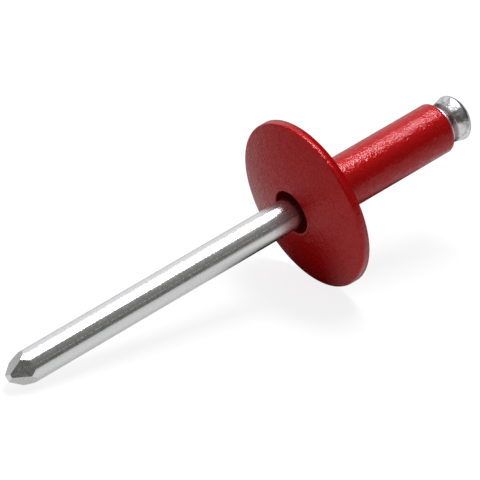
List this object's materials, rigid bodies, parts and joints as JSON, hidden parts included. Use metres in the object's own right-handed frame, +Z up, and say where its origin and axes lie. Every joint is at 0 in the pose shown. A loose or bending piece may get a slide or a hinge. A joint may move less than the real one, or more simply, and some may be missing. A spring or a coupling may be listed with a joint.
{
  "type": "pop rivet",
  "caption": "Blind rivet: hollow painted shank with a wide domed flange, threaded on a bright headed mandrel that has a break neck and a faceted pinch point.",
  "frame": {"origin": "on the ground, under the middle of the whole rivet as it lies at rest", "axes": "+X towards the mandrel head, level; +Z up; the rivet's own axis lies in the XZ plane and dips 11.8 degrees towards the pinch point"},
  "size_m": [0.0503, 0.016, 0.0158],
  "materials": {
    "red_paint": "semi-gloss red stove enamel on aluminium, with a fine grain",
    "bright_aluminium": "bright drawn wire with faint lengthwise draw lines"
  },
  "bodies": {
    "root": {"rivet_body": "red_paint", "mandrel": "bright_aluminium"}
  },
  "joints": []
}
